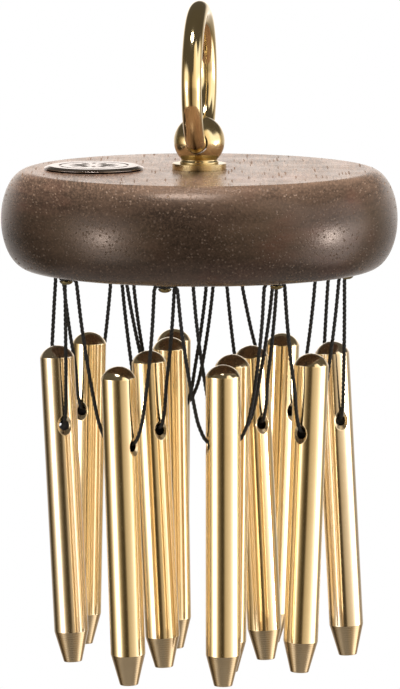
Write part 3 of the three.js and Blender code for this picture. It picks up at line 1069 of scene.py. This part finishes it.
def build_hanging(underside):
    """The screws, the cords and the pegs of both rings."""
    screw = screw_mesh()
    wrap = wrap_mesh()
    peg = peg_mesh()
    pale_peg = peg.copy()
    pale_peg.materials[0] = MATERIALS["peg_pale"]
    for ring, count in (("outer", 8), ("inner", 4)):
        screws = []
        for number in range(1, count + 1):
            point = highest_corner(f"screw_{ring}_{number}")
            place = Vector((point.x, point.y, underside))
            screws.append(np.array([point.x, point.y, 0]) / MM)
            turn = Matrix.Rotation(math.radians((number - 1) * SLOT_TURN_DEGREES), 4, "Z")
            matrix = Matrix.Translation(place) @ turn
            add_piece(f"{ring}_screw_{number}", screw, matrix, "disc", [f"screw_{ring}_{number}"],
                      "screw_brass")
            add_piece(f"{ring}_wrap_{number}", wrap, matrix, "disc", [], "cord")
        for number in range(1, count + 1):
            centre, rock_axis = joint_place(f"rock_{ring}_{number}")
            hole = -rock_axis
            axis = highest_corner(f"peg_{ring}_{number}") - centre
            matrix = axes_matrix(hole, axis, centre)
            node = f"peg_{ring}_{number}"
            shape = pale_peg if node in PALE_PEGS else peg
            add_piece(f"{ring}_peg_{number}", shape, matrix, node, [node], "peg_brass")
            x_axis, _, z_axis = (np.array(matrix.col[n][:3]) for n in range(3))
            middle = np.array([centre.x, centre.y, centre.z - underside]) / MM
            first, second = screws[number - 1], screws[number % count]
            down = strand_knots(first, second, middle, -x_axis, z_axis)
            back = strand_knots(second, first, middle, x_axis, z_axis)
            path = smooth_path(down + back[::-1][1:], CORD_STEP)
            mesh = twisted_cord_mesh(f"{ring}_cord_shape_{number}", path)
            add_piece(f"{ring}_cord_{number}", mesh, Matrix.Translation((0, 0, underside)),
                      f"cord_{ring}_{number}", [f"cord_loop_{ring}_{number}"], "cord")


# The studio: what polished metal sees, the lamps, the backdrop's white, the floor and the camera

def add_lamp(name, azimuth, elevation, distance, size, power, mirrored):
    """A soft oval lamp that faces the object. Azimuth 0 is toward the camera, and positive is to
    its right."""
    lamp = bpy.data.lights.new(name, "AREA")
    lamp.shape = "ELLIPSE"
    lamp.size, lamp.size_y = size
    lamp.energy = power
    holder = add_object(name, lamp)
    round_angle, rise = math.radians(azimuth), math.radians(elevation)
    direction = Vector((
        math.sin(round_angle) * math.cos(rise), -math.cos(round_angle) * math.cos(rise),
        math.sin(rise)))
    holder.location = CAMERA_AIM + direction * distance
    holder.rotation_euler = direction.to_track_quat("Z", "Y").to_euler()
    holder.visible_camera = False
    holder.visible_glossy = mirrored


def room_tint(degrees, level):
    """The colour of the room's wall in a direction: paper white where it is bright, and warmer
    the dimmer it is."""
    if abs(degrees) > ROOM_BACK_DEGREES:
        return ROOM_BACK_TINT
    share = min(1, level / ROOM_WHITE_LEVEL)
    return tuple(part + share * (1 - part) for part in ROOM_DIM_TINT)


def ramp_round(tree, turn, stops, highest, tint=None):
    """A colour for each direction round the object."""
    node = add_node(tree, "ShaderNodeValToRGB", inputs={"Fac": turn})
    elements = node.color_ramp.elements
    while len(elements) < len(stops):
        elements.new(0.5)
    for element, (degrees, level) in zip(elements, stops):
        colour = tint(degrees, level) if tint else (1, 1, 1)
        element.position = (degrees + 180) / 360
        element.color = (*(part * level / highest for part in colour), 1)
    return node.outputs["Color"]


def studio_room_material():
    """The studio's walls as polished metal sees them: bright sheets to both sides and behind, a
    tall pale screen on the right, a dark gap round the camera, and a dim ceiling."""
    material, tree, output = empty_material("studio_room")
    parts = add_node(tree, "ShaderNodeSeparateXYZ", inputs={"Vector": object_place(tree)})
    height = parts.outputs["Z"]
    forward = times(tree, parts.outputs["Y"], -1)
    turn = calculate(tree, "ARCTAN2", parts.outputs["X"], forward)
    turn = between(tree, turn, -math.pi, math.pi, smooth=False)
    walls = ramp_round(tree, turn, ROOM_LEVELS, ROOM_TOP_LEVEL, room_tint)
    above_disc = between(tree, height, ROOM_CAP_LOW, ROOM_CAP_HIGH)
    cap = [ROOM_CAP / ROOM_TOP_LEVEL] * 3
    walls = mix_colours(tree, above_disc, walls, (*cap, 1), "DARKEN")
    tops = ramp_round(tree, turn, ROOM_TOPS, ROOM_TOP_HEIGHT)
    top = times(tree, tops, ROOM_TOP_HEIGHT)
    fade_start = calculate(tree, "SUBTRACT", top, ROOM_TOP_FADE)
    below_top = between(tree, height, fade_start, top, 1.0, 0.0)
    above_foot = between(tree, height, ROOM_FOOT_LOW, ROOM_FOOT_HIGH)
    lit = times(tree, below_top, above_foot)
    ceiling = [part * CEILING_LEVEL / ROOM_TOP_LEVEL for part in CEILING_TINT]
    seen = mix_colours(tree, lit, (*ceiling, 1), walls)
    strength = between(
        tree, height, ROOM_LIFT_LOW, ROOM_LIFT_HIGH, ROOM_TOP_LEVEL, ROOM_TOP_LEVEL * ROOM_LIFT)
    emission = add_node(tree, "ShaderNodeEmission", inputs={"Color": seen, "Strength": strength})
    tree.links.new(emission.outputs["Emission"], output.inputs["Surface"])
    material.cycles.emission_sampling = "NONE"
    return material


def floor_material():
    """A pale matt floor that is lifted toward white for the camera."""
    material, tree, shader = shaded_material("floor")
    mottle = noise(tree, object_place(tree), scale=4, detail=2)
    path = tree.nodes.new("ShaderNodeLightPath")
    set_inputs(tree, shader, {
        "Base Color": mix_colours(tree, mottle, (0.78, 0.78, 0.78, 1), (0.82, 0.82, 0.82, 1)),
        "Roughness": 0.9,
        "Emission Color": WHITE,
        "Emission Strength": times(tree, path.outputs["Is Camera Ray"], FLOOR_LIFT),
    })
    return material


def add_stage(name, points, faces, material):
    """A piece of the studio, with its points in metres."""
    mesh = bpy.data.meshes.new(name)
    mesh.from_pydata(points, [], faces)
    mesh.materials.append(material)
    item = add_object(name, mesh)
    return item


def build_studio():
    scene = bpy.context.scene
    scene.view_settings.view_transform = "Standard"
    world = bpy.data.worlds.new("backdrop")
    scene.world = world
    world.use_nodes = True
    tree = world.node_tree
    tree.nodes.clear()
    output = tree.nodes.new("ShaderNodeOutputWorld")
    ambient = add_node(tree, "ShaderNodeBackground", inputs={
        "Color": WHITE, "Strength": AMBIENT_LEVEL})
    white = add_node(tree, "ShaderNodeBackground", inputs={"Color": WHITE, "Strength": 1})
    path = tree.nodes.new("ShaderNodeLightPath")
    seen = calculate(tree, "MAXIMUM", path.outputs["Is Camera Ray"], path.outputs["Is Glossy Ray"])
    seen = calculate(tree, "MAXIMUM", seen, path.outputs["Is Transmission Ray"])
    # Rays that see the backdrop meet white, and the rest a dim light from all round
    mixed = add_node(tree, "ShaderNodeMixShader", inputs={
        0: seen, 1: ambient.outputs[0], 2: white.outputs[0]})
    tree.links.new(mixed.outputs[0], output.inputs["Surface"])

    floor_level = CAD_BOX[0].z - FLOOR_DROP
    points, _ = turned_grid(
        [(ROOM_RADIUS, 0), (ROOM_RADIUS, ROOM_HEIGHT), (0, ROOM_HEIGHT)], ROOM_SIDES)
    faces = grid_faces(len(points), ROOM_SIDES)
    points = (points + (0, 0, floor_level)).reshape(-1, 3).tolist()
    room = add_stage("studio_room", points, faces, studio_room_material())
    room.visible_camera = False
    room.visible_diffuse = False
    room.visible_shadow = False
    room.visible_transmission = False

    corners = [(x * FLOOR_REACH, y * FLOOR_REACH, floor_level)
               for x, y in ((-1, -1), (1, -1), (1, 1), (-1, 1))]
    add_stage("floor", corners, [(0, 1, 2, 3)], floor_material())

    for lamp in LAMPS:
        add_lamp(*lamp)


def add_camera():
    tilt = math.radians(CAMERA_TILT_DEGREES)
    camera = bpy.data.cameras.new("camera")
    camera.sensor_fit = "HORIZONTAL"
    camera.sensor_width = SENSOR_WIDTH
    camera.lens = LENS_PIXELS / PHOTO_WIDTH * SENSOR_WIDTH
    camera.clip_end = 100
    holder = add_object("camera", camera)
    holder.location = CAMERA_AIM + CAMERA_DISTANCE * Vector((0, -math.cos(tilt), math.sin(tilt)))
    holder.rotation_euler = (math.pi / 2 - tilt, 0, 0)
    bpy.context.scene.camera = holder


add_camera()
build_disc()
build_badge()
build_ball()
build_ring()
dress_stud()
build_hanging(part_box("wood_disc")[0].z)
build_studio()
